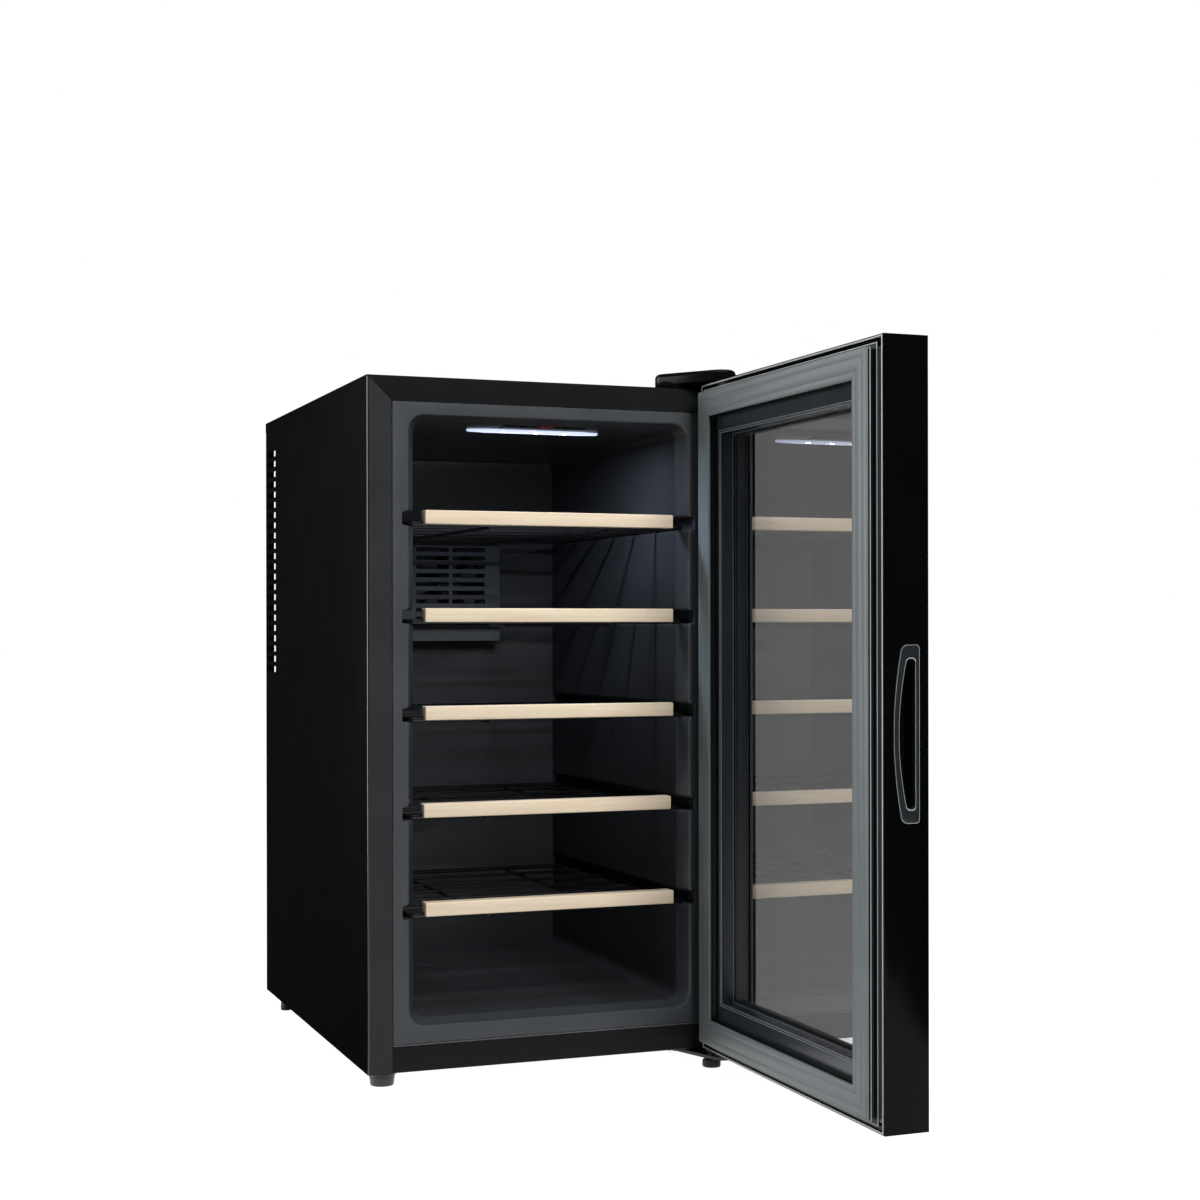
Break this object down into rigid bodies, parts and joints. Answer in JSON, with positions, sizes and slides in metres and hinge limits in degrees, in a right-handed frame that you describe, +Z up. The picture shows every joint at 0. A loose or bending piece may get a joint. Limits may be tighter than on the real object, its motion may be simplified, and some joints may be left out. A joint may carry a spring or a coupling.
{
  "type": "wine cooler",
  "caption": "Freestanding thermoelectric wine cooler with a framed glass door standing open, pull-out wire shelves with wood fronts, a ceiling light, side air slots and levelling feet.",
  "frame": {"origin": "on the floor under the middle of the whole object's box, with the door standing open at a right angle", "axes": "+X to the right seen from the front, +Y from the open front to the back, +Z up"},
  "size_m": [0.3574, 0.8036, 0.645],
  "materials": {
    "painted_steel": "gloss",
    "trim_steel": "satin",
    "galvanised": "satin",
    "foam": "matte",
    "liner": "satin",
    "door_gloss": "gloss",
    "door_inner": "gloss",
    "gasket": "satin",
    "mirror_glass": "polished",
    "dark_glass": "polished",
    "spacer": "matte",
    "handle": "satin",
    "wood": "satin",
    "wire": "gloss",
    "aluminium": "satin",
    "ceramic": "matte",
    "black_plastic": "satin",
    "cover_plastic": "gloss",
    "lens": "satin",
    "board": "satin",
    "hinge_steel": "satin",
    "brass": "satin",
    "foot_rubber": "matte",
    "screw": "satin"
  },
  "bodies": {
    "cabinet": {"left_side_panel": "painted_steel", "right_side_panel": "painted_steel", "top_panel": "painted_steel", "bottom_front_rail": "trim_steel", "base_panel": "galvanised", "back_plate": "galvanised", "rear_cover": "painted_steel", "foam_insulation": "foam", "inner_liner": "liner", "inner_fan_cover": "liner", "light_housing": "black_plastic", "light_lens": "lens", "led_board": "board", "control_panel": "black_plastic", "inner_fan_frame": "black_plastic", "cold_heat_sink": "aluminium", "cold_block": "aluminium", "peltier_module": "ceramic", "hot_heat_sink": "aluminium", "outer_fan_frame": "black_plastic", "power_board": "board", "power_inlet": "black_plastic", "top_hinge_bracket": "hinge_steel", "hinge_cover": "cover_plastic", "top_hinge_pin": "screw", "top_hinge_screw_1": "screw", "top_hinge_screw_2": "screw", "bottom_hinge_bracket": "hinge_steel", "bottom_hinge_pin": "screw", "bottom_hinge_screw_1": "screw", "bottom_hinge_screw_2": "screw", "rear_left_foot": "foot_rubber", "rear_right_foot": "foot_rubber", "rear_cover_screw_1": "screw", "rear_cover_screw_2": "screw", "rear_cover_screw_3": "screw", "rear_cover_screw_4": "screw"},
    "door": {"door_frame": "door_gloss", "door_inner_frame": "door_inner", "door_inner_pane": "mirror_glass", "door_outer_pane": "dark_glass", "glass_spacer": "spacer", "door_gasket": "gasket", "handle_insert": "handle", "top_hinge_bush": "brass", "bottom_hinge_bush": "brass"},
    "shelf_1": {"shelf_1_wires": "wire", "shelf_1_front": "wood"},
    "shelf_2": {"shelf_2_wires": "wire", "shelf_2_front": "wood"},
    "shelf_3": {"shelf_3_wires": "wire", "shelf_3_front": "wood"},
    "shelf_4": {"shelf_4_wires": "wire", "shelf_4_front": "wood"},
    "shelf_5": {"shelf_5_wires": "wire", "shelf_5_front": "wood"},
    "inner_fan": {"inner_fan_rotor": "black_plastic"},
    "outer_fan": {"outer_fan_rotor": "black_plastic"},
    "front_left_leveller": {"front_left_foot": "foot_rubber"},
    "front_right_leveller": {"front_right_foot": "foot_rubber"}
  },
  "joints": [
    {"name": "door_hinge", "type": "hinge", "parent": "cabinet", "child": "door", "pos_m": [0.1517, -0.07065, 0.323], "axis": [0, 0, 1], "range_deg": [-90, 20]},
    {"name": "shelf_1_slide", "type": "slide", "parent": "cabinet", "child": "shelf_1", "axis": [0, -1, 0], "range_m": [0, 0.18]},
    {"name": "shelf_2_slide", "type": "slide", "parent": "cabinet", "child": "shelf_2", "axis": [0, -1, 0], "range_m": [0, 0.18]},
    {"name": "shelf_3_slide", "type": "slide", "parent": "cabinet", "child": "shelf_3", "axis": [0, -1, 0], "range_m": [0, 0.18]},
    {"name": "shelf_4_slide", "type": "slide", "parent": "cabinet", "child": "shelf_4", "axis": [0, -1, 0], "range_m": [0, 0.18]},
    {"name": "shelf_5_slide", "type": "slide", "parent": "cabinet", "child": "shelf_5", "axis": [0, -1, 0], "range_m": [0, 0.18]},
    {"name": "inner_fan_spin", "type": "hinge", "parent": "cabinet", "child": "inner_fan", "pos_m": [-0.0062, 0.28735, 0.453], "axis": [0, 1, 0], "continuous": true},
    {"name": "outer_fan_spin", "type": "hinge", "parent": "cabinet", "child": "outer_fan", "pos_m": [-0.0062, 0.3816, 0.453], "axis": [0, 1, 0], "continuous": true},
    {"name": "front_left_level", "type": "slide", "parent": "cabinet", "child": "front_left_leveller", "axis": [0, 0, -1], "range_m": [0, 0.006]},
    {"name": "front_right_level", "type": "slide", "parent": "cabinet", "child": "front_right_leveller", "axis": [0, 0, -1], "range_m": [0, 0.006]}
  ]
}
